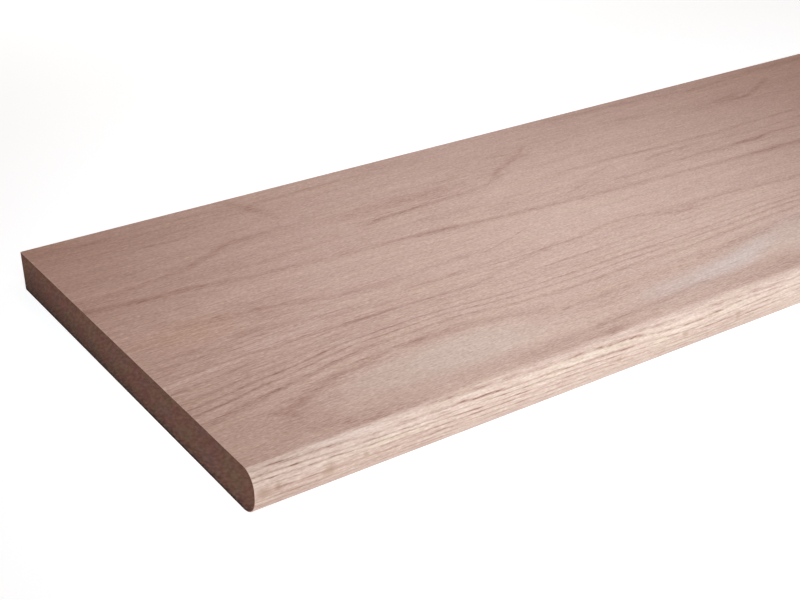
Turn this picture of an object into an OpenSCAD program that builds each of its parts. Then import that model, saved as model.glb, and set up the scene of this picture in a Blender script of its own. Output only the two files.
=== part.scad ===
// Stair tread: one solid board with a rounded nosing along its front edge.
// The nosing faces -Y, the rear edge faces +Y and the walked-on face is up.
// The origin is at the middle of the underside.

/* [Board] */
// Length of the tread, between its two sawn ends
tread_length = 914.4; // [609.6:50.8:1828.8]
// Depth of the tread, from the tip of the nosing to the rear edge
tread_depth = 292.1; // [241.3:6.35:355.6]
// Thickness of the board
tread_thickness = 25.4; // [25.4:0.1:38.1]

/* [Nosing] */
// Radius that rolls the top over into the front
nosing_top_r = 9.5; // [3:0.1:12.7]
// Radius that rolls the front under into the underside
nosing_bottom_r = 12.7; // [3:0.1:12.7]

/* [Rear edge] */
// Radius that takes the sharpness off the two long rear arrises
rear_ease_r = 0.8; // [0.3:0.1:3]

/* [Hidden] */
// Faces that the section is drawn between
nosing_tip_y = -tread_depth / 2;
rear_face_y = tread_depth / 2;
underside_z = 0;
top_z = tread_thickness;
// How far the waste of a corner reaches outside the board
waste_margin = 1;
// Fineness of the rounds
$fn = 96;

// Waste that leaves a round of radius r on one corner of the section.
// corner is that corner, and inward has the signs of the way into the board.
module corner_waste(corner, inward, r) {
    translate(corner)
        mirror([inward[0] < 0 ? 1 : 0, 0])
            mirror([0, inward[1] < 0 ? 1 : 0])
                difference() {
                    translate([-waste_margin, -waste_margin])
                        square(r + waste_margin);
                    translate([r, r])
                        circle(r);
                }
}

// Section across the board, with depth to the right and height up
module tread_section() {
    difference() {
        translate([nosing_tip_y, underside_z])
            square([tread_depth, tread_thickness]);
        corner_waste([nosing_tip_y, top_z], [1, -1], nosing_top_r);
        corner_waste([nosing_tip_y, underside_z], [1, 1], nosing_bottom_r);
        corner_waste([rear_face_y, top_z], [-1, -1], rear_ease_r);
        corner_waste([rear_face_y, underside_z], [-1, 1], rear_ease_r);
    }
}

// The whole tread: its section run from end to end and sawn off square
module tread() {
    color("#c8a792")
        rotate([90, 0, 90])
            linear_extrude(tread_length, center = true)
                tread_section();
}

tread();
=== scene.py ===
import math

import bpy
import numpy as np
from mathutils import Euler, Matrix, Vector


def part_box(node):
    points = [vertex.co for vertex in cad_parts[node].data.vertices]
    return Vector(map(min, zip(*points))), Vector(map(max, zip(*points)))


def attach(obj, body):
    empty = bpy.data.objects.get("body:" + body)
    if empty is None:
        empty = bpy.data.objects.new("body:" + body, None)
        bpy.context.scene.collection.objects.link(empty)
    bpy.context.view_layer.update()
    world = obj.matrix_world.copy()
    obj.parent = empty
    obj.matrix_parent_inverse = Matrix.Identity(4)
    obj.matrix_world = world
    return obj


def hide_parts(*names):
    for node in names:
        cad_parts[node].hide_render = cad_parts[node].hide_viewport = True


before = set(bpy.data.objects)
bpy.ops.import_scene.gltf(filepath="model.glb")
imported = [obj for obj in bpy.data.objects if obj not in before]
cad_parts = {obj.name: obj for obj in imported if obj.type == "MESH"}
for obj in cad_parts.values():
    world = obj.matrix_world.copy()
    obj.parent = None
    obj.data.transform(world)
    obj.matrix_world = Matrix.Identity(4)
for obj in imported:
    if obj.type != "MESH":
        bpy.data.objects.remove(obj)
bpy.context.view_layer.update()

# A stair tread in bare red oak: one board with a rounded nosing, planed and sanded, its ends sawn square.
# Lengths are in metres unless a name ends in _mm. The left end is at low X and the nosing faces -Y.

# The board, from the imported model, and the radii of its section
LOW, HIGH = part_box("tread")
LENGTH, DEPTH, THICKNESS = HIGH - LOW
NOSING_TOP_RADIUS = 0.0095
NOSING_BOTTOM_RADIUS = 0.0127
REAR_EASE = 0.0008
END_EASE = 0.0004

# How finely the board's skin is divided
NOSING_STEPS = 18
FLAT_STEPS = 150
REAR_STEPS = 4
HEIGHT_STEPS = 18
EASE_STEPS = 3
LENGTH_STEPS = 216

# The tree that the board was sawn from. Two hearts lie above the walked-on face, and every ring goes round
# the nearer one. Places are in mm from the left end, from the nosing's tip and from the top.
FRONT_HEART_ABOVE_MM = 100.0
FRONT_HEART_BEHIND_MM = ((0, 33), (60, 35), (100, 38), (915, 38))
REAR_HEART_ABOVE_MM = 243.0
REAR_HEART_BEHIND_MM = 200.0
HEART_BLEND_RINGS = 0.8

# The ring round the rear heart that the left end starts on, and the length in which the board crosses one
REAR_RING_AT_LEFT_END = 7.1
REAR_RING_RUN_MM = 185.0

# Widths of the rings round the front heart, from the one that the lens on the top lies in, and of all others
FIRST_RING_WIDTHS_MM = (3.0, 2.8, 2.1, 1.9)
RING_WIDTH_MM = 2.4

# How far outwards the trunk swells along the board, under the top and at the nosing
TOP_SWELLING_MM = (
    (0, 4.5), (20, 3.75), (40, 3.0), (60, 2.28), (80, 1.4), (100, 0.85), (130, 0.45), (150, 0.3), (165, 0.5),
    (180, 1.3), (200, 2.0), (220, 2.5), (250, 2.65), (290, 2.25), (330, 2.3), (360, 1.75), (385, 1.3),
    (430, 0.8), (500, 1.8), (580, 2.6), (650, 1.2), (700, 0.4), (760, 0.9), (840, 2.2), (915, 3.2),
)
NOSING_SWELLING_MM = (
    (0, 2.75), (50, 0.5), (100, -1.7), (150, -2.7), (200, -3.9), (235, -5.3), (260, -8.0), (280, -8.0),
    (310, -6.2), (340, -4.4), (400, -3.0), (480, -4.5), (560, -2.0), (640, 0.0), (720, -2.5), (800, -5.0),
    (915, -3.0),
)

# The top's swelling takes over from the nosing's between these places, in mm behind the tip
TOP_TAKES_OVER_MM = (10.0, 24.0)

# How dark the line is at which each ring ends, from the heart outwards and then over again, on the top and
# on the nosing, and how much of the ring that line takes
TOP_LINE_DARKNESS = (0.0, 0.5, 0.6, 0.6, 0.65, 0.28, 0.2, 0.3, 0.15, 0.25, 0.2, 0.3, 0.2)
NOSING_LINE_DARKNESS = (0.45, 0.65, 0.4, 0.9, 0.8, 0.75, 0.5, 0.65, 0.45, 0.6, 0.4, 0.55, 0.45)
LINE_SHARES = (0.2, 0.34, 0.18, 0.15, 0.15, 0.15, 0.15, 0.15, 0.15, 0.15, 0.15, 0.15, 0.15)
THINNEST_LINE_MM = 0.4
BROADEST_LINE_MM = 4.5

# How much of the first line, round the lens, is left at places along the board
FIRST_LINE_LEFT = ((0, 1.0), (165, 1.0), (195, 0.3), (330, 0.3), (350, 0.45), (450, 1.0), (915, 1.0))

# How much of all the ring lines on the top is left at places along the board
TOP_LINES_LEFT = ((0, 1.15), (120, 1.15), (220, 0.8), (915, 0.85))

# Late wood that the saw just touched, where the top runs along a ring and not across it, and one patch of
# painted shade. Each streak has its half width in mm, and places on it: mm from the left end, mm behind
# the tip, and darkness, below 0 if pale.
STREAKS = (
    # The long line from the left end, behind the middle
    (2.9, ((-20, 194, 0.5), (0, 193, 0.65), (10, 191, 0.6), (22, 189, 0.5), (30, 188, 0.6), (42, 187, 0.7),
           (60, 186.5, 0.7), (72, 184.3, 0.45), (85, 182.5, 0.4), (100, 180.5, 0.4), (120, 178.5, 0.35),
           (140, 177, 0.4), (160, 175.5, 0.4), (180, 173.5, 0.35), (200, 172, 0.5), (212, 171, 0.65),
           (222, 170, 0.85), (232, 168.8, 0.6), (245, 167, 0.45), (262, 165, 0.4), (300, 161.8, 0.45),
           (340, 158.3, 0.42), (380, 155.8, 0.42), (420, 153.3, 0.42), (460, 150.6, 0.5), (480, 150, 0.65),
           (495, 150, 0.85), (505, 149, 0.7), (600, 144, 0.4), (760, 136, 0.6), (920, 130, 0.4))),
    # The rising line near the left rear corner
    (2.8, ((-10, 205, 0.25), (20, 204.5, 0.25), (40, 206, 0.3), (55, 209, 0.4), (70, 211.5, 0.35),
           (78, 215, 0.5), (86, 218.5, 0.5), (92, 221.5, 0.5), (100, 226, 0.45), (106, 229, 0.45),
           (118, 230.5, 0.35), (130, 230.5, 0.3), (142, 232, 0.2), (152, 236, 0.0))),
    # The line that starts sharply, runs along and turns up to the rear
    (2.1, ((184, 203.5, 0.0), (187, 204, 0.2), (191, 204.3, 0.85), (200, 206, 0.75), (222, 207.5, 0.7),
           (237, 208, 0.8), (262, 209.5, 0.6), (275, 210.3, 0.55), (285, 212, 0.5), (294, 213.5, 0.6),
           (300, 218, 0.7), (306, 226, 0.5), (312, 230, 0.5), (322, 233.5, 0.5), (328, 236, 0.35),
           (334, 240, 0.5), (341, 243, 0.5), (344, 248, 0.4), (348, 252, 0.4), (353, 255, 0.0))),
    (4.0, ((294, 215, 0.0), (300, 217.5, 0.7), (304, 220.5, 0.7), (309, 226, 0.0))),
    (2.6, ((328, 241, 0.0), (335, 241.5, 0.6), (341, 241.5, 0.6), (347, 240, 0.0))),
    (1.7, ((314, 251, 0.0), (322, 251, 0.4), (330, 249.5, 0.4), (336, 246, 0.3), (341, 243, 0.0))),
    # The soft patch behind it
    (7.0, ((172, 221, 0.0), (185, 222, 0.32), (215, 222, 0.42), (235, 222, 0.45), (250, 221, 0.38),
           (285, 223, 0.0))),
    (1.6, ((208, 219, 0.0), (214, 219.5, 0.4), (228, 219.5, 0.4), (233, 218, 0.25), (241, 217, 0.4),
           (250, 218, 0.2), (256, 219, 0.0))),
    # A brown smear across the grain at the rear
    (4.6, ((131, 293, 0.0), (135, 285, 0.4), (139, 275, 0.5), (144, 264, 0.5), (149, 255, 0.35),
           (154, 245, 0.0))),
    # Three lines side by side towards the right, and pale wood between them
    (1.8, ((300, 200, 0.0), (309, 200.3, 0.3), (345, 200.6, 0.25), (355, 200.6, 0.38), (392, 201, 0.38),
           (400, 200, 0.45), (412, 198.8, 0.45), (430, 197.4, 0.36), (480, 195.6, 0.36), (500, 195.6, 0.3),
           (511, 197, 0.5), (525, 196.8, 0.3), (620, 195, 0.3), (700, 192, 0.0))),
    (1.4, ((335, 194.5, 0.0), (350, 194.8, -0.3), (372, 194.5, -0.2), (400, 195, -0.2), (418, 193.5, -0.3),
           (440, 192, -0.2), (470, 190.5, -0.25), (500, 189, 0.0))),
    (1.6, ((402, 184, 0.0), (410, 186.5, 0.4), (420, 188, 0.36), (432, 187, 0.36), (441, 186.3, 0.4),
           (447, 186, 0.0))),
    (1.6, ((345, 183, 0.0), (356, 185.5, 0.35), (364, 187.5, 0.35), (372, 189.5, 0.25), (380, 190, 0.0))),
    (1.8, ((465, 186, 0.0), (476, 184.5, 0.3), (500, 183, 0.3), (520, 183.3, 0.3), (540, 184.5, 0.35),
           (600, 186, 0.3), (680, 188, 0.0))),
    (0.9, ((322, 170.5, 0.0), (328, 171.8, 0.5), (335, 174, 0.5), (343, 176.3, 0.4), (350, 178, 0.0))),
    (2.2, ((362, 171, 0.0), (372, 169.5, 0.3), (384, 168.8, 0.36), (400, 170, 0.36), (410, 171.5, 0.2),
           (448, 171, 0.36), (465, 169, 0.5), (478, 171, 0.55), (486, 170, 0.9), (496, 170, 0.9),
           (505, 171, 0.5), (516, 173.5, 0.45), (530, 171.5, 0.45), (560, 172, 0.2), (640, 176, 0.4),
           (720, 178, 0.0))),
    # Soft marks near the rear edge
    (2.4, ((520, 243, 0.0), (533, 243, 0.35), (545, 241, 0.5), (560, 240.5, 0.55), (568, 243, 0.45),
           (576, 247.5, 0.3), (582, 252, 0.36), (592, 255, 0.5), (598, 258, 0.5), (606, 262, 0.2),
           (614, 266, 0.0))),
    (2.0, ((530, 245, 0.0), (540, 246.5, 0.35), (552, 248, 0.35), (562, 249, 0.0))),
    (3.0, ((380, 284, 0.0), (410, 285, 0.25), (450, 284, 0.32), (480, 281, 0.25), (520, 277, 0.25),
           (540, 276, 0.32), (565, 278, 0.25), (600, 281, 0.25), (630, 281, 0.4), (660, 283, 0.35),
           (760, 286, 0.3), (900, 288, 0.0))),
    (2.6, ((8, 284, 0.0), (20, 281, 0.25), (38, 278, 0.4), (48, 276.5, 0.4), (53, 276, 0.0))),
    (2.6, ((85, 284, 0.0), (95, 281, 0.22), (120, 277, 0.22), (150, 276, 0.3), (184, 275, 0.32),
           (215, 276.5, 0.25), (240, 276, 0.0))),
    (1.7, ((50, 254.5, 0.0), (62, 254, 0.25), (80, 251.5, 0.25), (92, 253, 0.2), (102, 257, 0.25),
           (110, 260, 0.0))),
    (1.5, ((258, 234.5, 0.0), (266, 234.8, 0.3), (280, 235.5, 0.3), (288, 237.5, 0.0))),
    (2.0, ((420, 259, 0.0), (430, 257.5, 0.2), (445, 255.5, 0.25), (460, 256, 0.2), (475, 257.5, 0.0))),
    (2.0, ((80, 194.5, 0.0), (95, 193.5, 0.25), (112, 193, 0.3), (124, 196, 0.22), (150, 197, 0.22),
           (168, 197.5, 0.25), (188, 193, 0.0))),
    # The lines between the middle and the front heart's rings
    (2.6, ((30, 147.5, 0.0), (38, 146.5, 0.25), (50, 145, 0.3), (62, 143, 0.45), (75, 141.5, 0.5),
           (85, 141, 0.6), (95, 140, 0.45), (104, 139, 0.35), (112, 138, 0.0))),
    (2.4, ((92, 136, 0.0), (104, 133.5, 0.3), (118, 131.5, 0.38), (132, 129.5, 0.4), (145, 129, 0.38),
           (160, 130, 0.22), (180, 130.5, 0.25), (200, 131, 0.28), (214, 130.5, 0.35), (223, 129, 0.0))),
    (0.7, ((222, 128, 0.0), (230, 130, 0.5), (240, 133, 0.55), (250, 136, 0.55), (262, 140.5, 0.45),
           (269, 143, 0.0))),
    (4.5, ((52, 122, 0.0), (60, 122.5, 0.3), (68, 121, 0.3), (77, 120, 0.0))),
    (5.5, ((4, 119, 0.0), (15, 119, 0.22), (30, 117, 0.25), (42, 115, 0.0))),
    (1.4, ((-10, 111.5, 0.35), (10, 111, 0.4), (40, 110.5, 0.42), (49, 110, 0.0))),
    (3.0, ((95, 111, 0.0), (108, 112, 0.18), (125, 110.5, 0.2), (142, 108, 0.2), (156, 106, 0.0))),
    (1.9, ((155, 117, 0.0), (166, 116.5, 0.35), (200, 115.5, 0.35), (216, 116, 0.25), (250, 115, 0.3),
           (262, 114, 0.0))),
    (2.6, ((203, 99.5, 0.0), (212, 103.5, 0.32), (225, 105, 0.22), (238, 108.5, 0.36), (256, 111, 0.34),
           (268, 113, 0.34), (280, 111.5, 0.28), (290, 114.5, 0.4), (312, 117.5, 0.32), (328, 118, 0.32),
           (340, 115, 0.34), (348, 110, 0.34), (356, 106.5, 0.46), (366, 105.5, 0.46), (376, 104, 0.25),
           (386, 106, 0.0))),
    (3.2, ((350, 113, 0.0), (365, 112, 0.2), (384, 111, 0.32), (404, 110.5, 0.32), (420, 108.5, 0.28),
           (436, 106.5, 0.32), (460, 104, 0.35), (520, 100, 0.4), (640, 104, 0.3), (760, 110, 0.0))),
    (1.3, ((2, 97, 0.0), (12, 98, 0.25), (30, 99.3, 0.38), (45, 99.5, 0.3), (60, 99, 0.38), (72, 98.8, 0.42),
           (90, 99.3, 0.6), (105, 99, 0.65), (118, 98.8, 0.65), (145, 99.3, 0.6), (158, 98.4, 0.35),
           (175, 98, 0.25), (200, 97.5, 0.35), (207, 100, 0.3), (214, 101, 0.0))),
    (1.7, ((-8, 91.5, -0.2), (5, 93, -0.45), (15, 94, -0.55), (30, 96, -0.5), (42, 97.2, -0.25),
           (52, 98, 0.0))),
    (2.8, ((44, 105, 0.0), (55, 105, -0.25), (75, 104.5, -0.15), (95, 105.5, -0.2), (110, 105, 0.0))),
    (1.0, ((40, 91, 0.0), (45, 91.3, 0.5), (52, 91.7, 0.55), (57, 92, 0.0))),
    (2.6, ((28, 88, 0.0), (36, 89, 0.45), (42, 88, 0.45), (49, 87, 0.0))),
    (1.0, ((-6, 73.5, 0.3), (5, 75.3, 0.5), (20, 77, 0.42), (32, 78, 0.42), (44, 78.3, 0.0))),
    (1.0, ((-2, 85, 0.2), (5, 86, 0.35), (18, 87, 0.35), (30, 88, 0.0))),
    (1.0, ((235, 93, 0.0), (255, 93, 0.3), (270, 93, 0.4), (282, 93, 0.5), (292, 93.3, 0.3),
           (301, 93.5, 0.0))),
    # A darker corner at the left rear, painted shade where the lamps' light falls off
    (11.0, ((-10, 292, 0.3), (0, 291, 0.28), (25, 290, 0.1), (45, 289, 0.0))),
    # Round the lens: its right tip, where the late wood is broad, and the brown band in front of it
    (8.0, ((183, 56, 0.0), (196, 50, 0.2), (210, 46, 0.24), (225, 43.5, 0.28), (240, 42.5, 0.3),
           (258, 43, 0.25), (290, 44, 0.27), (305, 45.5, 0.27), (320, 48, 0.22), (335, 50, 0.25),
           (350, 51.5, 0.22), (370, 53, 0.18), (390, 54.5, 0.15), (430, 56, 0.0))),
    (1.5, ((222, 37.5, 0.0), (232, 37, 0.25), (245, 36.8, 0.32), (262, 37.5, 0.25), (290, 41.5, 0.25),
           (302, 43, 0.0))),
    (1.0, ((340, 53, 0.0), (350, 54, 0.5), (362, 56, 0.5), (382, 56.5, 0.5), (392, 57, 0.0))),
    (7.6, ((118, 15.5, 0.0), (140, 15.5, 0.18), (160, 15.5, 0.28), (185, 15.5, 0.38), (210, 15, 0.38),
           (230, 15, 0.28), (262, 17, 0.24), (290, 17.5, 0.24), (320, 15, 0.32), (345, 14.5, 0.36),
           (400, 15, 0.36), (520, 14, 0.3), (640, 14, 0.0))),
    (2.7, ((210, 10.5, 0.0), (216, 10, 1.1), (221, 10, 1.6), (225, 11.5, 1.0), (230, 12, 0.0))),
    (1.5, ((209, 19, 0.0), (216, 19, 0.7), (226, 19.3, 0.7), (240, 19.5, 0.55), (262, 21.5, 0.42),
           (280, 23, 0.42), (292, 25, 0.5), (304, 24.5, 0.42), (312, 22, 0.3), (345, 22, 0.38),
           (420, 19, 0.0))),
    (6.0, ((20, 26, 0.0), (34, 24, 0.2), (45, 20, 0.32), (55, 16, 0.32), (68, 12.5, 0.32), (85, 11, 0.25),
           (110, 11, 0.15), (130, 11, 0.0))),
    (1.8, ((43, 19, 0.0), (48, 19.5, 0.65), (53, 20.5, 0.5), (58, 21, 0.0))),
    (2.0, ((58, 10.5, 0.0), (66, 10, 0.45), (74, 8.5, 0.45), (81, 9, 0.0))),
)

# A streak is gone at the first of these half widths off its middle, and whole at the second. A place with
# no streak counts as this far off.
STREAK_EDGES = (2.8, 2.0)
FAR_OFF = 9.0

# What was placed on the skin is gone at the first of these depths and whole at the second
STREAK_DEPTHS_MM = (1.4, 0.2)
TINT_DEPTHS_MM = (1.5, 0.5)

# A band of greyish wood in front of the lens's right tip: mm from the left end, mm behind the tip of the
# nosing, and how much it shows
GREY_BAND_MM = (
    (250, 30, 0.0), (270, 30, 0.5), (300, 30, 0.6), (325, 33, 0.9), (345, 36, 1.0), (360, 42, 0.7),
    (380, 49, 0.4), (400, 54, 0.3), (520, 52, 0.0),
)
GREY_BAND_HALF_WIDTH_MM = 7.5

# A tan cloud near the left end: mm from that end, mm behind the tip, half its length and half its width
TAN_CLOUD_MM = (38.0, 138.0, 26.0, 15.0)

# The ring lines that the nosing cuts, from the highest down, as far as they are known one by one. Places are
# mm from the left end and mm round the nosing from where it leaves the top, each with its darkness.
NOSING_LINES = (
    ((0, -9, 0), (200, 2.2, 0), (232, 5.2, 0.3), (250, 6.2, 0.55), (262, 6.3, 0.3), (278, 6.0, 0.6),
     (287, 5.8, 0.9), (298, 5.6, 0.6), (308, 6.3, 0.3), (325, 7.1, 0.8), (335, 7.3, 0.8), (390, 8, 0.5)),
    ((0, -1, 0), (60, 1.6, 0), (100, 3.6, 0.25), (116, 4.3, 0.7), (125, 4.4, 0.9), (135, 4.8, 0.5),
     (150, 5.6, 0.5), (160, 6.3, 0.7), (180, 6.4, 0.75), (190, 6.6, 0.5), (205, 6.7, 0.85),
     (216, 7.1, 0.8), (224, 7.4, 1.3), (231, 8.1, 1.3), (238, 9.0, 0.7), (245, 9.7, 0.7),
     (250, 10.6, 1.0), (258, 11.2, 0.5), (270, 11.3, 0.8), (280, 11.1, 0.8), (290, 10.4, 0.8),
     (300, 9.7, 0.6), (308, 9.4, 0.9), (322, 9.3, 0.3), (340, 9.5, 0.3)),
    ((0, 4.9, 1.0), (4, 5.0, 1.35), (16, 5.3, 1.35), (22, 5.9, 0.9), (30, 6.2, 0.9), (45, 6.7, 0.85),
     (55, 7.6, 0.9), (62, 8.1, 0.6), (80, 8.3, 0.5), (100, 8.5, 0.5), (106, 8.6, 1.1), (112, 8.7, 1.0),
     (119, 8.9, 1.5), (129, 9.3, 1.4), (136, 9.7, 0.8), (150, 10.2, 0.9), (166, 10.2, 1.0),
     (180, 10.7, 1.0), (192, 11.0, 0.6), (200, 11.2, 1.3), (215, 11.7, 1.5), (221, 12.0, 0.8),
     (240, 13.0, 0.7), (256, 14.3, 0.8), (266, 14.8, 0.5), (280, 14.4, 0.2), (300, 12.9, 0.3),
     (312, 12.7, 0.7), (322, 12.1, 0.7), (334, 11.8, 1.0), (340, 11.7, 0.8)),
    ((0, 8.0, 0.8), (10, 8.2, 0.7), (19, 8.5, 1.0), (25, 8.8, 1.2), (32, 9.1, 0.8), (40, 9.6, 1.3),
     (48, 9.8, 0.7), (60, 10.3, 0.8), (75, 10.7, 0.6), (86, 11.1, 1.0), (105, 11.3, 0.8),
     (120, 11.7, 0.5), (137, 12.0, 0.8), (150, 12.3, 1.1), (165, 12.7, 0.7), (180, 12.9, 0.8),
     (198, 13.3, 1.1), (214, 14.1, 0.8), (230, 14.8, 0.7), (245, 16.2, 0.5), (272, 16.2, 0.7),
     (285, 16.4, 0.9), (300, 16.0, 0.6), (316, 14.6, 0.9), (322, 14.5, 0.5), (340, 14.2, 0.5)),
    ((0, 10.5, 0.9), (8, 10.6, 0.7), (18, 10.9, 1.0), (24, 11.2, 0.6), (30, 11.5, 1.0), (38, 11.5, 0.5),
     (46, 11.6, 1.5), (50, 11.9, 0.7), (55, 12.2, 1.0), (60, 12.5, 0.8), (66, 12.6, 1.5),
     (74, 12.6, 0.6), (90, 12.9, 0.6), (104, 13.4, 0.9), (130, 14.4, 0.8), (150, 14.9, 0.9),
     (170, 15.2, 0.5), (188, 15.7, 0.9), (203, 16.0, 0.7), (216, 16.6, 0.9), (230, 17.8, 0.5),
     (247, 18.7, 0.9), (262, 18.6, 0.7), (275, 19.3, 0.8), (290, 18.7, 0.5), (307, 17.8, 0.8),
     (340, 16.7, 0.5)),
    ((0, 13.2, 0.3), (30, 14.0, 0.4), (60, 14.9, 0.4), (84, 15.5, 0.5), (104, 16.2, 0.9),
     (122, 16.6, 1.0), (135, 16.7, 0.6), (150, 16.9, 0.7), (180, 17.3, 0.8), (205, 17.9, 0.7),
     (230, 19.6, 0.4), (250, 21.2, 0.6), (275, 21.4, 0.5), (300, 20.4, 0.5), (340, 19.1, 0.4)),
    ((0, 16.1, 0.3), (15, 16.5, 0.4), (19, 16.7, 1.1), (25, 17.0, 0.7), (40, 17.2, 0.5), (52, 17.6, 0.9),
     (60, 18.0, 0.6), (75, 18.4, 0.5), (90, 18.7, 0.7), (120, 19.2, 0.6), (145, 19.8, 0.7),
     (180, 20.2, 0.5), (205, 20.8, 0.5), (250, 23.4, 0.4), (300, 22.8, 0.4), (340, 21.5, 0.4)),
    ((0, 20.7, 0.6), (12, 21.0, 0.8), (40, 21.3, 0.5), (70, 21.1, 0.4), (100, 21.7, 0.5),
     (150, 22.5, 0.5), (205, 23.4, 0.5), (250, 25.8, 0.4), (340, 24.2, 0.4)),
)

# These lines come in between two places round the nosing, and go out between two along the board. Below
# the lowest of them, a line is this dark.
NOSING_LINES_START_MM = (1.5, 3.0)
NOSING_LINES_END_MM = (385.0, 345.0)
LOWER_LINE_DARKNESS = 0.4

# The cutter's work starts between these places round the nosing. A painted highlight lies on it, in two
# shares that are gone at one place and whole at the next, and of which this much is left to the right.
MOULDED_FROM_MM = (1.6, 2.8)
PAINTED_HIGHLIGHT_SHARES = ((0.6, 18.0, 13.0), (0.4, 8.0, 4.0))
PAINTED_HIGHLIGHT_TO_THE_RIGHT = 0.2
PAINTED_HIGHLIGHT_END_MM = (130.0, 20.0)

# Cream wood between the lines on the nosing: mm from the left end, mm below the top, width, height
CREAM_SPOTS_MM = (
    (200.0, 3.8, 84.0, 2.8), (245.0, 9.6, 13.0, 4.5), (301.0, 5.0, 22.0, 2.4), (150.0, 6.5, 60.0, 1.6),
    (60.0, 6.6, 50.0, 1.4), (425.0, 5.0, 60.0, 2.6), (600.0, 7.0, 40.0, 3.0), (760.0, 4.5, 70.0, 2.6),
)

# Rays that the nosing cuts along, seen as tan spots: mm from the left end, mm below the top, width, height
RAY_SPOTS_MM = (
    (5.0, 11.2, 6.0, 5.5), (12.0, 10.4, 3.5, 4.5), (39.0, 12.0, 6.5, 7.5), (59.0, 10.8, 3.5, 3.0),
    (216.0, 11.2, 3.5, 3.5), (263.0, 11.0, 4.5, 4.0), (303.0, 11.2, 4.0, 4.5), (412.0, 12.0, 5.0, 5.0),
    (520.0, 10.5, 4.0, 4.0), (548.0, 12.5, 6.0, 5.5), (667.0, 11.0, 5.0, 4.5), (790.0, 12.0, 5.5, 6.0),
)

# Depth of the porous early wood below the hard late wood, as sanding leaves it
GRAIN_RELIEF_MM = 0.04

# The edge of a line is this many of its half widths out. Pores make it waver, more on the top than on the
# smoother nosing.
LINE_EDGE = 1.7
TOP_WAVER_MM = 0.5
NOSING_WAVER_MM = 0.22

# Bare red oak: its kinds of wood, cut lengthwise, a painted highlight for the nosing, pale fibres with a
# painted sheen, and how strongly some of them show
WOOD = "#CEB1A4"
PINKER_WOOD = "#C5A79A"
CREAMIER_WOOD = "#D2B8A4"
LENS_WOOD = "#CEB7AA"
GREYISH_WOOD = "#D0BFB7"
TAN_WOOD = "#C8A586"
# Painted highlight for the nosing
PAINTED_NOSING_HIGHLIGHT = "#F6E6DA"
CREAM_WOOD = "#D8C7B0"
LATE_WOOD = "#8C6253"
# Pale fibres with a painted sheen on them
PALE_FIBRES_AND_PAINTED_SHEEN = "#FFF2E9"
RAYS = "#AA8B76"
TAN_STRENGTH = 0.35
NOSING_HIGHLIGHT_STRENGTH = 0.36
CREAM_STRENGTH = 0.3
RAY_STRENGTH = 0.6

# The same oak sawn across its grain, and painted shade on its lower part and lower arris
OLIVE_END = "#755C4A"
REDDISH_END = "#79534A"
MAUVE_END = "#735853"
TORN_END = "#4A3028"
POLISHED_END = "#A08070"
# Painted shade for the end's lower rear part
PAINTED_END_SHADE = "#3A2A24"
# Painted contact shadow along the end's lower arris
PAINTED_ARRIS_SHADOW = "#1E1713"

# How strongly wood bends light
WOOD_IOR = 1.5

# The table: half its width, and its own colour, which the glow from below adds to
TABLE_HALF_WIDTH = 15.0
TABLE_COLOUR = "#B4B4B4"

# The lamps: name, place, the spot that each aims at, half the angle of its cone, watts and tint
LAMPS = (
    ("front_lamp", (-0.35, -0.70, 0.45), (-0.18, -0.143, 0.0), 0.36, 46.0, (0.70, 0.99, 0.99)),
    ("right_lamp", (0.05, -0.45, 1.0), (-0.05, 0.0, 0.0), 0.36, 24.0, (0.96, 1.0, 1.24)),
    ("left_lamp", (-0.60, -0.60, 0.90), (-0.33, -0.06, 0.0), 0.30, 32.0, (1.0, 1.0, 1.16)),
    ("far_lamp", (0.54, -0.40, 0.90), (0.51, -0.04, 0.0), 0.29, 30.0, (0.9, 1.0, 1.18)),
    ("table_lamp", (0.05, 1.15, 1.20), (0.09, 0.91, 0.0), 0.52, 42.0, (1.0, 1.02, 1.06)),
)
LAMP_RADIUS = 0.3

# The photograph's camera: its place, its lens for a sensor of that width, and its turns in degrees:
# to the right of +Y, downwards, and round its own axis
CAMERA_PLACE = (-0.68555, -0.61394, 0.37033)
SENSOR_WIDTH_MM = 36.0
LENS_MM = 62.706
CAMERA_TURNS = (33.340, 26.684, -1.069)

# Kinds of shader node that the materials use again and again
MATH = "ShaderNodeMath"
VECTOR_MATH = "ShaderNodeVectorMath"
RANGE = "ShaderNodeMapRange"
MIX = "ShaderNodeMix"
STORED = "ShaderNodeAttribute"
NOISE = "ShaderNodeTexNoise"


def smooth_step(low, high, value):
    """0 below low, 1 above high, and a smooth rise between them. With low above high it falls instead."""
    t = np.clip((value - low) / (high - low), 0.0, 1.0)
    return t * t * (3.0 - 2.0 * t)


def wander(x, y, size_x, size_y, seed):
    """A slow random drift between about -1 and 1, with features of the given sizes in mm."""
    dice = np.random.default_rng(seed)
    total = np.zeros(np.shape(x))
    waves = 7
    for _ in range(waves):
        heading = dice.uniform(0.0, 2.0 * math.pi)
        phase = dice.uniform(0.0, 2.0 * math.pi)
        pace = dice.uniform(0.7, 1.6)
        across = np.cos(heading) * x / size_x + np.sin(heading) * y / size_y
        total = total + np.sin(2.0 * math.pi * pace * across + phase)
    return total / math.sqrt(waves)


def along_board(x, places, values):
    """Values known at some places along the board, read off smoothly at x."""
    nudges = (-5.0, -2.5, 0.0, 2.5, 5.0)
    return np.mean([np.interp(x + nudge, places, values) for nudge in nudges], axis=0)


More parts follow.
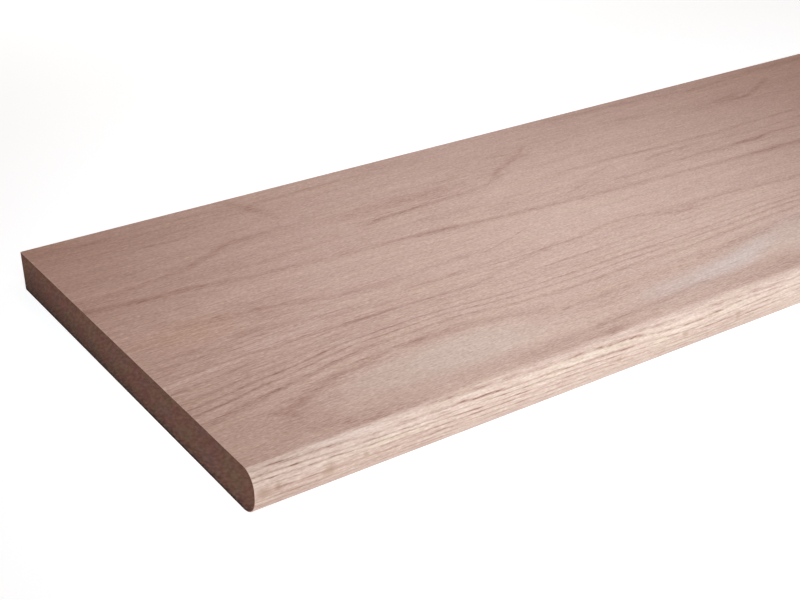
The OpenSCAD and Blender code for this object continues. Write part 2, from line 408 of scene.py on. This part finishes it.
def round_nosing(y, depth):
    """How far round the nosing points in mm lie from where it leaves the top, and how far below the skin."""
    top, under = NOSING_TOP_RADIUS * 1000.0, NOSING_BOTTOM_RADIUS * 1000.0
    flat = THICKNESS * 1000.0 - top - under
    turned = np.arctan2(np.maximum(top - y, 0.0), np.maximum(top - depth, 1e-6))
    turned_under = np.arctan2(np.maximum(depth - top - flat, 0.0), np.maximum(under - y, 1e-6))
    arc = top * turned + np.clip(depth - top, 0.0, flat) + under * turned_under - np.maximum(y - top, 0.0)
    below_top = top - np.hypot(np.maximum(top - y, 0.0), np.maximum(top - depth, 0.0))
    below_under = under - np.hypot(np.maximum(under - y, 0.0), np.maximum(depth - top - flat, 0.0))
    return arc, np.minimum(below_top, below_under)


def nosing_rings(x, y, depth):
    """Rings counted by the lines known on the nosing, how dark those are, and how far they hold, 0 to 1."""
    arc, below_skin = round_nosing(y, depth)
    tables = [np.array(line, float).T for line in NOSING_LINES]
    places = [along_board(x, table[0], table[1]) for table in tables]
    rings = 1.0 + np.minimum(arc - places[0], 0.0) / RING_WIDTH_MM
    rings = rings + np.maximum(arc - places[-1], 0.0) / RING_WIDTH_MM
    for upper, lower in zip(places, places[1:]):
        rings = rings + np.clip((arc - upper) / (lower - upper), 0.0, 1.0)
    darkness = np.zeros(len(x))
    for number, table in enumerate(tables, 1):
        nearness = np.maximum(1.0 - np.abs(rings - number), 0.0)
        darkness = darkness + nearness * along_board(x, table[0], table[2])
    darkness = darkness + LOWER_LINE_DARKNESS * np.clip(rings - len(tables), 0.0, 1.0)
    holds = smooth_step(*NOSING_LINES_START_MM, arc) * smooth_step(*NOSING_LINES_END_MM, x)
    return rings, darkness, holds * smooth_step(*STREAK_DEPTHS_MM, below_skin)


def growth(x, y, depth):
    """Rings counted outwards from the nearer heart at points in mm, and how much nearer the rear heart is."""
    heart = along_board(x, *np.array(FRONT_HEART_BEHIND_MM, float).T)
    under_top = along_board(x, *np.array(TOP_SWELLING_MM, float).T)
    at_nosing = along_board(x, *np.array(NOSING_SWELLING_MM, float).T)
    on_top = smooth_step(*TOP_TAKES_OVER_MM, y)
    front_reach = np.hypot(y - heart, FRONT_HEART_ABOVE_MM + depth) - FRONT_HEART_ABOVE_MM
    front_reach = front_reach + on_top * under_top + (1.0 - on_top) * at_nosing
    rear_reach = np.hypot(y - REAR_HEART_BEHIND_MM, REAR_HEART_ABOVE_MM + depth) - REAR_HEART_ABOVE_MM

    edges = np.cumsum((0.0,) + FIRST_RING_WIDTHS_MM)
    inside = np.minimum(front_reach, 0.0) / FIRST_RING_WIDTHS_MM[0]
    outside = np.maximum(front_reach - edges[-1], 0.0) / RING_WIDTH_MM
    front_rings = inside + np.interp(front_reach, edges, np.arange(len(edges))) + outside
    rear_rings = REAR_RING_AT_LEFT_END - x / REAR_RING_RUN_MM + rear_reach / RING_WIDTH_MM
    gap = front_rings - rear_rings
    rings = 0.5 * (front_rings + rear_rings - np.sqrt(gap * gap + HEART_BLEND_RINGS ** 2))
    rings = rings + 0.04 * wander(x, y, 90.0, 24.0, 11) + 0.04 * wander(x, y + depth, 46.0, 9.0, 12)
    known, _, holds = nosing_rings(x, y, depth)
    return rings + (known - rings) * holds, gap


def ring_spacing(x, y, depth, normals):
    """Rings per mm along the surface at each point."""
    step = 0.25
    here = growth(x, y, depth)[0]
    slope = np.stack([
        growth(x + step, y, depth)[0] - here,
        growth(x, y + step, depth)[0] - here,
        growth(x, y, depth - step)[0] - here,
    ], 1) / step
    slope = slope - normals * (slope * normals).sum(1, keepdims=True)
    return np.linalg.norm(slope, axis=1)


def nearest_streak(x, y, depth):
    """The streak that shows most at each point: half widths off its middle, those per mm, its darkness."""
    off_middle = np.full(len(x), FAR_OFF)
    per_mm = np.ones(len(x))
    darkness = np.zeros(len(x))
    shown = np.zeros(len(x))
    for half_width, path in STREAKS:
        places, middles, darks = np.array(path, float).T
        middle = along_board(x, places, middles)
        slope = along_board(x + 1.0, places, middles) - middle
        off = (y - middle) / np.hypot(1.0, slope) / half_width
        dark = along_board(x, places, darks) * smooth_step(*STREAK_DEPTHS_MM, depth)
        dark = dark * smooth_step(*STREAK_EDGES, np.abs(off))
        shows = np.abs(dark) * np.exp(-np.abs(off))
        better = shows > shown
        off_middle = np.where(better, off, off_middle)
        per_mm = np.where(better, 1.0 / half_width, per_mm)
        darkness = np.where(better, dark, darkness)
        shown = np.maximum(shows, shown)
    return off_middle, per_mm, darkness


def section_edges(inset):
    """Lower and upper outline of the section, station by station from tip to rear, pulled in by inset."""
    turn = np.linspace(0.0, math.pi / 2, NOSING_STEPS + 1)
    rear_turn = np.linspace(0.0, math.pi / 2, REAR_STEPS + 1)[1:]
    edges = []
    for radius in (NOSING_BOTTOM_RADIUS, NOSING_TOP_RADIUS):
        flat = np.linspace(radius, DEPTH - REAR_EASE, FLAT_STEPS + 1)[1:]
        y = np.concatenate([
            radius - (radius - inset) * np.cos(turn),
            flat,
            DEPTH - REAR_EASE + (REAR_EASE - inset) * np.sin(rear_turn),
        ])
        height = np.concatenate([
            radius - (radius - inset) * np.sin(turn),
            np.full(FLAT_STEPS, inset),
            REAR_EASE - (REAR_EASE - inset) * np.cos(rear_turn),
        ])
        edges.append((y, height))
    (low_y, low_z), (high_y, from_top) = edges
    return np.stack([low_y, low_z], 1), np.stack([high_y, THICKNESS - from_top], 1)


def length_stations():
    """Places along the board with the inset of the section there, from one sawn end to the other."""
    turn = np.linspace(math.pi / 2, 0.0, EASE_STEPS + 1)
    left = END_EASE * (1.0 - np.sin(turn))
    insets = END_EASE * (1.0 - np.cos(turn))
    middle = np.linspace(END_EASE, LENGTH - END_EASE, LENGTH_STEPS + 1)[1:-1]
    x = np.concatenate([left, middle, LENGTH - left[::-1]])
    return x, np.concatenate([insets, np.zeros(len(middle)), insets[::-1]])


def board_lattice():
    """The board as a lattice of points: along its length, from tip to rear, and up through its thickness."""
    x, insets = length_stations()
    share = np.linspace(0.0, 1.0, HEIGHT_STEPS + 1)
    slices = []
    for place, inset in zip(x, insets):
        low, high = section_edges(inset)
        yz = low[:, None, :] + (high - low)[:, None, :] * share[None, :, None]
        slices.append(np.concatenate([np.full(yz.shape[:2] + (1,), place), yz], axis=2))
    return np.stack(slices) + np.array(LOW)


def skin_faces(number):
    """Quads over the six sides of a lattice, from the number that each of its points has. Ends come last."""
    def quads(sheet):
        return np.stack([sheet[:-1, :-1], sheet[1:, :-1], sheet[1:, 1:], sheet[:-1, 1:]], 2).reshape(-1, 4)
    sides = [
        quads(number[:, :, -1]),
        quads(number[:, :, 0])[:, ::-1],
        quads(number[:, 0, :]),
        quads(number[:, -1, :])[:, ::-1],
    ]
    ends = [quads(number[0])[:, ::-1], quads(number[-1])]
    return np.concatenate(sides), np.concatenate(ends)


def line_tables(rings):
    """The tables of ring lines, read off between their entries at a count of rings."""
    turns = len(LINE_SHARES)
    numbers = np.arange(turns)
    tables = (TOP_LINE_DARKNESS, NOSING_LINE_DARKNESS, LINE_SHARES)
    return [np.interp(rings % turns, numbers, table, period=turns) for table in tables]


def write_wood(mesh, points, normals):
    """Writes on the mesh what its materials need to know of the tree, and returns how dark each point is."""
    x = (points[:, 0] - LOW.x) * 1000.0
    y = (points[:, 1] - LOW.y) * 1000.0
    depth = (HIGH.z - points[:, 2]) * 1000.0
    rings, gap = growth(x, y, depth)
    per_mm = np.maximum(ring_spacing(x, y, depth, normals), 0.004)
    top_dark, nosing_dark, share = line_tables(rings)
    line_share = np.clip(share, THINNEST_LINE_MM * per_mm, BROADEST_LINE_MM * per_mm)

    # The lines fade behind the front heart's rings and in front of that heart, where the streaks take over.
    # The nosing cuts the rings squarely, and there each line is broken in its own way.
    under_streaks = smooth_step(0.2, 1.5, gap) * smooth_step(2.0, 0.5, depth)
    in_front = smooth_step(38.0, 26.0, y)
    first_left = along_board(x, *np.array(FIRST_LINE_LEFT, float).T)
    top_dark = top_dark * (1.0 - (1.0 - first_left) * smooth_step(1.6, 1.4, rings))
    top_dark = top_dark * along_board(x, *np.array(TOP_LINES_LEFT, float).T)
    top_dark = top_dark * (1.0 - 0.8 * under_streaks) * (1.0 - 0.8 * in_front)
    broken = np.clip(0.75 + 0.35 * wander(x, rings * 6.0, 40.0, 6.0, 13), 0.35, 1.2)
    steep = smooth_step(0.2, 0.6, -normals[:, 1])
    _, known_dark, known = nosing_rings(x, y, depth)
    nosing_dark = nosing_dark * broken
    nosing_dark = nosing_dark + (known_dark - nosing_dark) * known
    ring_dark = top_dark + (nosing_dark - top_dark) * np.maximum(steep, known)

    # The cutter left the nosing smoother than the top. A painted highlight makes the upper part of the nosing
    # paler, most near the left end
    arc, _ = round_nosing(y, depth)
    moulded = smooth_step(*MOULDED_FROM_MM, arc)
    painted_highlight = sum(part * smooth_step(gone, whole, arc) for part, gone, whole in PAINTED_HIGHLIGHT_SHARES)
    at_left = smooth_step(*PAINTED_HIGHLIGHT_END_MM, x)
    painted_highlight = painted_highlight * moulded * (PAINTED_HIGHLIGHT_TO_THE_RIGHT + (1.0 - PAINTED_HIGHLIGHT_TO_THE_RIGHT) * at_left)

    # Fibres stand out on the nosing and towards the left end, where a tan cloud lies as well
    near_end = smooth_step(190.0, 60.0, x) * smooth_step(200.0, 150.0, y) * smooth_step(28.0, 60.0, y)
    fibre_strength = 1.0 + 1.2 * moulded + 1.0 * near_end
    along, behind, half_length, half_width = TAN_CLOUD_MM
    tan = np.exp(-((x - along) / half_length) ** 2 - ((y - behind) / half_width) ** 2)

    # Inside the first ring the top runs along the early wood, and is pale
    in_lens = smooth_step(0.9, 0.1, rings) * smooth_step(14.0, 28.0, y) * smooth_step(*TINT_DEPTHS_MM, depth)

    # The greyish band is only skin deep, and soft at its sides
    places, middles, shares = np.array(GREY_BAND_MM, float).T
    off_band = (y - along_board(x, places, middles)) / GREY_BAND_HALF_WIDTH_MM
    greyish = along_board(x, places, shares) * np.exp(-off_band ** 2) * smooth_step(*TINT_DEPTHS_MM, depth)

    streak, streak_per_mm, streak_dark = nearest_streak(x, y, depth)
    written = {
        "rings": rings, "rings_per_mm": per_mm, "line_share": line_share, "ring_dark": ring_dark,
        "streak": streak, "streak_per_mm": streak_per_mm, "streak_dark": streak_dark, "in_lens": in_lens,
        "moulded": moulded, "painted_highlight": painted_highlight, "fibre_strength": fibre_strength, "tan": tan,
        "greyish": greyish,
    }
    for name, values in written.items():
        mesh.attributes.new(name, "FLOAT", "POINT").data.foreach_set("value", values.astype(np.float32))
    from_line = (rings - np.round(rings)) / line_share
    return np.maximum(np.exp(-from_line ** 2) * ring_dark, streak_dark * np.exp(-streak ** 2))


def make_board():
    """The board's skin as one closed mesh, with the tree's rings written on it and the grain in relief."""
    lattice = board_lattice()
    outside = np.ones(lattice.shape[:3], bool)
    outside[1:-1, 1:-1, 1:-1] = False
    number = np.full(outside.shape, -1)
    number[outside] = np.arange(outside.sum())
    points = lattice[outside]
    sides, ends = skin_faces(number)

    mesh = bpy.data.meshes.new("tread_oak")
    mesh.from_pydata(points.tolist(), [], np.concatenate([sides, ends]).tolist())
    mesh.update()
    normals = np.zeros(len(points) * 3)
    mesh.vertices.foreach_get("normal", normals)
    normals = normals.reshape(-1, 3)
    late = np.minimum(write_wood(mesh, points, normals), 1.0)
    sunk = points - normals * ((1.0 - late) * GRAIN_RELIEF_MM / 1000.0)[:, None]
    mesh.vertices.foreach_set("co", sunk.astype(np.float32).ravel())

    mesh.polygons.foreach_set("use_smooth", np.ones(len(sides) + len(ends), bool))
    on_end = np.concatenate([np.zeros(len(sides), np.int32), np.ones(len(ends), np.int32)])
    mesh.polygons.foreach_set("material_index", on_end)
    mesh.update()
    board = bpy.data.objects.new("tread_oak", mesh)
    bpy.context.scene.collection.objects.link(board)
    flats = board.modifiers.new("flats stay flat", "WEIGHTED_NORMAL")
    flats.keep_sharp = True
    return board


def linear(hex_colour):
    """An sRGB hex colour as the linear red, green, blue and alpha that shaders take."""
    shares = [int(hex_colour[i:i + 2], 16) / 255.0 for i in (1, 3, 5)]
    return tuple(c / 12.92 if c <= 0.04045 else ((c + 0.055) / 1.055) ** 2.4 for c in shares) + (1.0,)


def add(tree, kind, inputs=None, output=0, **settings):
    """Adds a node, sets it up, feeds its inputs with values or with other nodes, and returns one output."""
    made = tree.nodes.new(kind)
    for name, value in settings.items():
        setattr(made, name, value)
    for socket, value in (inputs or {}).items():
        if isinstance(value, bpy.types.NodeSocket):
            tree.links.new(value, made.inputs[socket])
        else:
            made.inputs[socket].default_value = value
    return made.outputs[output] if made.outputs else None


def new_material(name):
    """An empty node material, its tree, and the place of each shaded point in mm."""
    material = bpy.data.materials.new(name)
    material.use_nodes = True
    tree = material.node_tree
    tree.nodes.clear()
    place = add(tree, "ShaderNodeTexCoord", output="Object")
    place_mm = add(tree, VECTOR_MATH, {0: place, "Scale": 1000.0}, operation="SCALE")
    return material, tree, place_mm


def grain(tree, place_mm, long_mm, wide_mm, detail, seed):
    """Noise drawn out along the board, with features of the given length and width, between 0 and 1."""
    finer = (1.0 / long_mm, 1.0 / wide_mm, 1.0 / wide_mm)
    sized = add(tree, VECTOR_MATH, {0: place_mm, 1: finer, 2: (seed, -seed, seed)}, operation="MULTIPLY_ADD")
    return add(tree, NOISE, {"Vector": sized, "Scale": 1.0, "Detail": detail})


def spotted(tree, place_mm, colour, spots_mm, tint, strength):
    """A colour with soft, uneven spots of another one on the nosing."""
    ragged = grain(tree, place_mm, long_mm=3.0, wide_mm=1.5, detail=2.0, seed=21.0)
    for along, below, width, height in spots_mm:
        middle = (LOW.x * 1000.0 + along, LOW.y * 1000.0, HIGH.z * 1000.0 - below)
        off = add(tree, VECTOR_MATH, {0: place_mm, 1: middle}, operation="SUBTRACT")
        off = add(tree, VECTOR_MATH, {0: off, 1: (2.0 / width, 0.1, 2.0 / height)}, operation="MULTIPLY")
        off = add(tree, VECTOR_MATH, {0: off}, "Value", operation="LENGTH")
        off = add(tree, MATH, {0: ragged, 1: 1.4, 2: off}, operation="MULTIPLY_ADD")
        spot = add(tree, RANGE, {0: off, 1: 2.1, 2: 1.1, 3: 0.0, 4: strength})
        colour = add(tree, MIX, {0: spot, 6: colour, 7: tint}, 2, data_type="RGBA")
    return colour


def oak_lines(tree, place_mm):
    """How dark the wood is with the lines at which rings end and with the streaks, from -1 to about 1."""
    # Pores draw the lines, so they waver, less on the nosing, and come and go along the board
    noise = grain(tree, place_mm, long_mm=12.0, wide_mm=2.4, detail=3.0, seed=0.0)
    moulded = add(tree, STORED, output="Fac", attribute_name="moulded")
    reach_mm = add(tree, RANGE, {0: moulded, 3: TOP_WAVER_MM, 4: NOSING_WAVER_MM})
    waver = add(tree, RANGE, {0: noise, 1: 0.2, 2: 0.8, 3: -1.0, 4: 1.0})
    waver_mm = add(tree, MATH, {0: waver, 1: reach_mm}, operation="MULTIPLY")
    noise = grain(tree, place_mm, long_mm=30.0, wide_mm=4.0, detail=2.0, seed=3.0)
    strength = add(tree, RANGE, {0: noise, 1: 0.35, 2: 0.65, 3: 0.8, 4: 1.15})

    rings, rings_per_mm, line_share, ring_dark = [
        add(tree, STORED, output="Fac", attribute_name=name)
        for name in ("rings", "rings_per_mm", "line_share", "ring_dark")
    ]
    wavering = add(tree, MATH, {0: waver_mm, 1: rings_per_mm, 2: rings}, operation="MULTIPLY_ADD")
    from_line = add(tree, MATH, {0: wavering, 1: 0.5, 2: -0.5}, operation="WRAP")
    from_line = add(tree, MATH, {0: from_line, 1: line_share}, operation="DIVIDE")
    from_line = add(tree, MATH, {0: from_line}, operation="ABSOLUTE")
    line = add(tree, RANGE, {0: from_line, 2: LINE_EDGE, 3: 1.0, 4: 0.0}, interpolation_type="SMOOTHSTEP")
    line = add(tree, MATH, {0: line, 1: ring_dark}, operation="MULTIPLY")

    streak, streak_per_mm, streak_dark = [
        add(tree, STORED, output="Fac", attribute_name=name)
        for name in ("streak", "streak_per_mm", "streak_dark")
    ]
    off_middle = add(tree, MATH, {0: waver_mm, 1: streak_per_mm, 2: streak}, operation="MULTIPLY_ADD")
    off_middle = add(tree, MATH, {0: off_middle}, operation="ABSOLUTE")
    band = add(tree, RANGE, {0: off_middle, 2: LINE_EDGE, 3: 1.0, 4: 0.0}, interpolation_type="SMOOTHSTEP")
    both = add(tree, MATH, {0: band, 1: streak_dark, 2: line}, operation="MULTIPLY_ADD")
    return add(tree, MATH, {0: both, 1: strength}, operation="MULTIPLY")


def sanded_oak():
    """Bare red oak, planed and sanded along the grain: dull, pinkish, with dark lines where rings end."""
    material, tree, place_mm = new_material("red_oak_planed_and_sanded")
    lines = oak_lines(tree, place_mm)

    # Slow clouds of pinker wood, creamier wood in long streaks, and pale wood inside the lens
    clouds = grain(tree, place_mm, long_mm=90.0, wide_mm=16.0, detail=2.0, seed=7.0)
    pinker = add(tree, RANGE, {0: clouds, 1: 0.3, 2: 0.7})
    base = add(tree, MIX, {0: pinker, 6: linear(WOOD), 7: linear(PINKER_WOOD)}, 2, data_type="RGBA")
    stripes = grain(tree, place_mm, long_mm=60.0, wide_mm=3.5, detail=1.0, seed=9.0)
    creamier = add(tree, RANGE, {0: stripes, 1: 0.5, 2: 0.7, 3: 0.0, 4: 0.5})
    base = add(tree, MIX, {0: creamier, 6: base, 7: linear(CREAMIER_WOOD)}, 2, data_type="RGBA")
    in_lens = add(tree, STORED, output="Fac", attribute_name="in_lens")
    base = add(tree, MIX, {0: in_lens, 6: base, 7: linear(LENS_WOOD)}, 2, data_type="RGBA")

    greyish = add(tree, STORED, output="Fac", attribute_name="greyish")
    base = add(tree, MIX, {0: greyish, 6: base, 7: linear(GREYISH_WOOD)}, 2, data_type="RGBA")
    tan = add(tree, STORED, output="Fac", attribute_name="tan")
    tan = add(tree, MATH, {0: tan, 1: TAN_STRENGTH}, operation="MULTIPLY")
    base = add(tree, MIX, {0: tan, 6: base, 7: linear(TAN_WOOD)}, 2, data_type="RGBA")

    # Painted highlight on the nosing, and cream patches between its lines
    painted_highlight = add(tree, STORED, output="Fac", attribute_name="painted_highlight")
    painted_highlight = add(tree, MATH, {0: painted_highlight, 1: NOSING_HIGHLIGHT_STRENGTH}, operation="MULTIPLY")
    base = add(tree, MIX, {0: painted_highlight, 6: base, 7: linear(PAINTED_NOSING_HIGHLIGHT)}, 2, data_type="RGBA")
    base = spotted(tree, place_mm, base, CREAM_SPOTS_MM, linear(CREAM_WOOD), CREAM_STRENGTH)

    # Fibres in streaks 12 mm long, which are stronger on the nosing, and finer flecks, which are calmer there
    fibres = grain(tree, place_mm, long_mm=12.0, wide_mm=1.0, detail=2.0, seed=11.0)
    fibres = add(tree, RANGE, {0: fibres, 1: 0.0, 2: 1.0, 3: 0.2, 4: -0.2})
    flecks = grain(tree, place_mm, long_mm=2.2, wide_mm=0.6, detail=1.0, seed=12.0)
    tone = add(tree, MATH, {0: flecks, 1: -1.0, 2: 0.5}, operation="MULTIPLY_ADD")
    moulded = add(tree, STORED, output="Fac", attribute_name="moulded")
    calm = add(tree, RANGE, {0: moulded, 3: 1.0, 4: 0.75})
    fibre_strength = add(tree, STORED, output="Fac", attribute_name="fibre_strength")
    fibres = add(tree, MATH, {0: fibres, 1: fibre_strength}, operation="MULTIPLY")
    tone = add(tree, MATH, {0: tone, 1: calm, 2: fibres}, operation="MULTIPLY_ADD")

    # Pores of the early wood, cut lengthwise: dark scratches, densest in the lines. Real ones are 0.3 mm
    # wide, too fine to show from here, so they are drawn 0.6 mm wide.
    pores = grain(tree, place_mm, long_mm=9.0, wide_mm=0.6, detail=1.0, seed=13.0)
    pores = add(tree, RANGE, {0: pores, 1: 0.54, 2: 0.64})
    open_pores = add(tree, MATH, {0: lines, 1: 0.45, 2: 0.1}, operation="MULTIPLY_ADD")
    pores = add(tree, MATH, {0: pores, 1: open_pores}, operation="MULTIPLY")

    darkness = add(tree, MATH, {0: lines, 1: 0.43, 2: tone}, operation="MULTIPLY_ADD")
    darkness = add(tree, MATH, {0: darkness, 1: pores}, operation="ADD")
    dark = add(tree, RANGE, {0: darkness, 1: 0.0, 2: 1.0})
    light = add(tree, RANGE, {0: darkness, 1: 0.0, 2: -1.0})
    colour = add(tree, MIX, {0: dark, 6: base, 7: linear(LATE_WOOD)}, 2, data_type="RGBA")
    # The lightest tone goes towards pale fibres with a painted sheen on them
    colour = add(tree, MIX, {0: light, 6: colour, 7: linear(PALE_FIBRES_AND_PAINTED_SHEEN)}, 2, data_type="RGBA")

    # Tan spots of ray on the nosing
    colour = spotted(tree, place_mm, colour, RAY_SPOTS_MM, linear(RAYS), RAY_STRENGTH)

    # Pores and early wood lie lower than the fibres round them
    sunk = add(tree, MATH, {0: lines, 1: 0.8, 2: pores}, operation="MULTIPLY_ADD")
    height = add(tree, MATH, {0: flecks, 1: 0.6}, operation="MULTIPLY")
    height = add(tree, MATH, {0: height, 1: sunk}, operation="SUBTRACT")
    normal = add(tree, "ShaderNodeBump", {"Height": height, "Strength": 1.0, "Distance": 0.00012})
    shader = add(tree, "ShaderNodeBsdfPrincipled", {
        "Base Color": colour, "Roughness": 0.62, "IOR": WOOD_IOR, "Specular IOR Level": 0.25,
        "Normal": normal,
    })
    add(tree, "ShaderNodeOutputMaterial", {"Surface": shader})
    return material


def sawn_end_oak():
    """Bare red oak sawn across the grain: its open pores swallow light, so it looks much darker."""
    material, tree, place_mm = new_material("red_oak_end_grain_sawn")
    lines = oak_lines(tree, place_mm)

    # Reddish, olive and mauve patches some 18 mm long, which rise towards the nosing as the saw's marks do
    turned = add(tree, "ShaderNodeVectorRotate", {"Vector": place_mm, "Angle": math.radians(30.0)},
                 rotation_type="X_AXIS")
    wide = add(tree, VECTOR_MATH, {0: turned, 1: (1.0, 1 / 18.0, 1 / 8.0)}, operation="MULTIPLY")
    patches = add(tree, NOISE, {"Vector": wide, "Scale": 1.0, "Detail": 3.0}, "Color")
    reddish = add(tree, "ShaderNodeSeparateColor", {0: patches}, 0)
    mauvish = add(tree, "ShaderNodeSeparateColor", {0: patches}, 1)
    reddish = add(tree, RANGE, {0: reddish, 1: 0.35, 2: 0.65})
    mauvish = add(tree, RANGE, {0: mauvish, 1: 0.5, 2: 0.7, 3: 0.0, 4: 0.7})
    olive, redder = linear(OLIVE_END), linear(REDDISH_END)
    base = add(tree, MIX, {0: reddish, 6: olive, 7: redder}, 2, data_type="RGBA")
    base = add(tree, MIX, {0: mauvish, 6: base, 7: linear(MAUVE_END)}, 2, data_type="RGBA")
    ring_tint = add(tree, RANGE, {0: lines, 1: 0.0, 2: 1.0, 3: 0.0, 4: 0.2})
    base = add(tree, MIX, {0: ring_tint, 6: base, 7: linear(TORN_END)}, 2, data_type="RGBA")

    # The saw's marks, about 6 mm long and 1.4 mm apart, which stand out most along the lower arris
    fine = add(tree, VECTOR_MATH, {0: turned, 1: (1.0, 1 / 6.0, 1 / 1.4)}, operation="MULTIPLY")
    marks = add(tree, NOISE, {"Vector": fine, "Scale": 1.0, "Detail": 3.0})
    height_mm = add(tree, "ShaderNodeSeparateXYZ", {0: place_mm}, 2)
    behind_mm = add(tree, "ShaderNodeSeparateXYZ", {0: place_mm}, 1)
    rough = add(tree, RANGE, {0: height_mm, 1: 7.0, 2: 2.0, 3: 0.45, 4: 1.0})
    torn = add(tree, RANGE, {0: marks, 1: 0.42, 2: 0.62, 3: 0.0, 4: 0.8})
    torn = add(tree, MATH, {0: torn, 1: rough}, operation="MULTIPLY")
    colour = add(tree, MIX, {0: torn, 6: base, 7: linear(TORN_END)}, 2, data_type="RGBA")
    polished = add(tree, RANGE, {0: marks, 1: 0.42, 2: 0.25, 3: 0.0, 4: 0.4})
    polished = add(tree, MATH, {0: polished, 1: rough}, operation="MULTIPLY")
    colour = add(tree, MIX, {0: polished, 6: colour, 7: linear(POLISHED_END)}, 2, data_type="RGBA")

    # Painted shade: a veil low down that is thickest at the rear, and a painted contact shadow, a dark line
    # on the lower arris
    painted_low_shade = add(tree, MATH, {0: behind_mm, 1: -0.04, 2: height_mm}, operation="MULTIPLY_ADD")
    painted_low_shade = add(tree, RANGE, {0: painted_low_shade, 1: 16.0, 2: -6.0, 3: 0.0, 4: 0.75}, interpolation_type="SMOOTHSTEP")
    colour = add(tree, MIX, {0: painted_low_shade, 6: colour, 7: linear(PAINTED_END_SHADE)}, 2, data_type="RGBA")
    # Painted contact shadow along the lower arris
    edge = add(tree, MATH, {0: marks, 1: -2.0, 2: height_mm}, operation="MULTIPLY_ADD")
    edge = add(tree, RANGE, {0: edge, 1: 1.6, 2: 0.0, 3: 0.0, 4: 0.8}, interpolation_type="SMOOTHSTEP")
    colour = add(tree, MIX, {0: edge, 6: colour, 7: linear(PAINTED_ARRIS_SHADOW)}, 2, data_type="RGBA")

    normal = add(tree, "ShaderNodeBump", {"Height": marks, "Strength": 1.0, "Distance": 0.0002})
    shader = add(tree, "ShaderNodeBsdfPrincipled", {
        "Base Color": colour, "Roughness": 0.9, "IOR": WOOD_IOR, "Specular IOR Level": 0.1, "Normal": normal,
    })
    add(tree, "ShaderNodeOutputMaterial", {"Surface": shader})
    return material


def lit_table():
    """A white table lit from below as well, which leaves only a faint shadow round what lies on it."""
    material, tree, _ = new_material("lit_white_table")
    shader = add(tree, "ShaderNodeBsdfPrincipled", {
        "Base Color": linear(TABLE_COLOUR), "Roughness": 0.9, "Specular IOR Level": 0.0,
        "Emission Color": (0.96, 1.0, 1.015, 1.0), "Emission Strength": 0.8,
    })
    add(tree, "ShaderNodeOutputMaterial", {"Surface": shader})
    return material


def make_table():
    """A wide table top at the board's underside."""
    mesh = bpy.data.meshes.new("table")
    turns = ((-1, -1), (1, -1), (1, 1), (-1, 1))
    corners = [(TABLE_HALF_WIDTH * x, TABLE_HALF_WIDTH * y, LOW.z) for x, y in turns]
    mesh.from_pydata(corners, [], [(0, 1, 2, 3)])
    mesh.materials.append(lit_table())
    table = bpy.data.objects.new("table", mesh)
    bpy.context.scene.collection.objects.link(table)


def make_lamp(name, place, aim, half_angle, energy, colour):
    """A soft round lamp that fades towards the edge of its cone and isn't seen itself."""
    lamp = bpy.data.lights.new(name, "SPOT")
    lamp.energy = energy
    lamp.color = colour
    lamp.shadow_soft_size = LAMP_RADIUS
    lamp.spot_size = 2.0 * half_angle
    lamp.spot_blend = 1.0
    holder = bpy.data.objects.new(name, lamp)
    holder.location = place
    holder.visible_camera = False
    holder.rotation_euler = (Vector(aim) - Vector(place)).to_track_quat("-Z", "Y").to_euler()
    bpy.context.scene.collection.objects.link(holder)


def make_lights():
    """A lamp low in front of the board, three high over it, one for the table behind, and a warm room.

    The room lights the board dimly from all sides. Its wall, behind the table, is pale to look at.
    """
    for lamp in LAMPS:
        make_lamp(*lamp)

    world = bpy.data.worlds.new("room")
    world.use_nodes = True
    tree = world.node_tree
    tree.nodes.clear()
    glow = add(tree, "ShaderNodeBackground", {"Color": (1.0, 0.5, 0.24, 1.0), "Strength": 0.24})
    wall = add(tree, "ShaderNodeBackground", {"Color": (0.93, 0.92, 0.91, 1.0), "Strength": 1.0})
    looked_at = add(tree, "ShaderNodeLightPath", output="Is Camera Ray")
    room = add(tree, "ShaderNodeMixShader", {0: looked_at, 1: glow, 2: wall})
    add(tree, "ShaderNodeOutputWorld", {"Surface": room})
    bpy.context.scene.world = world


def make_camera():
    """The photograph's view, from low over the left front corner along the board."""
    camera = bpy.data.objects.new("camera", bpy.data.cameras.new("camera"))
    camera.data.sensor_width = SENSOR_WIDTH_MM
    camera.data.lens = LENS_MM
    camera.data.clip_start = 0.01
    camera.location = CAMERA_PLACE
    heading, dip, roll = [math.radians(turn) for turn in CAMERA_TURNS]
    level = Euler((math.pi / 2 - dip, 0.0, -heading), "XYZ").to_matrix()
    camera.rotation_euler = (level @ Euler((0.0, 0.0, roll), "XYZ").to_matrix()).to_euler()
    bpy.context.scene.collection.objects.link(camera)
    bpy.context.scene.camera = camera


make_camera()
make_lights()
make_table()
board = make_board()
board.data.materials.append(sanded_oak())
board.data.materials.append(sawn_end_oak())
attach(board, "root")
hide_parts("tread")

bpy.context.scene.view_settings.view_transform = "Standard"
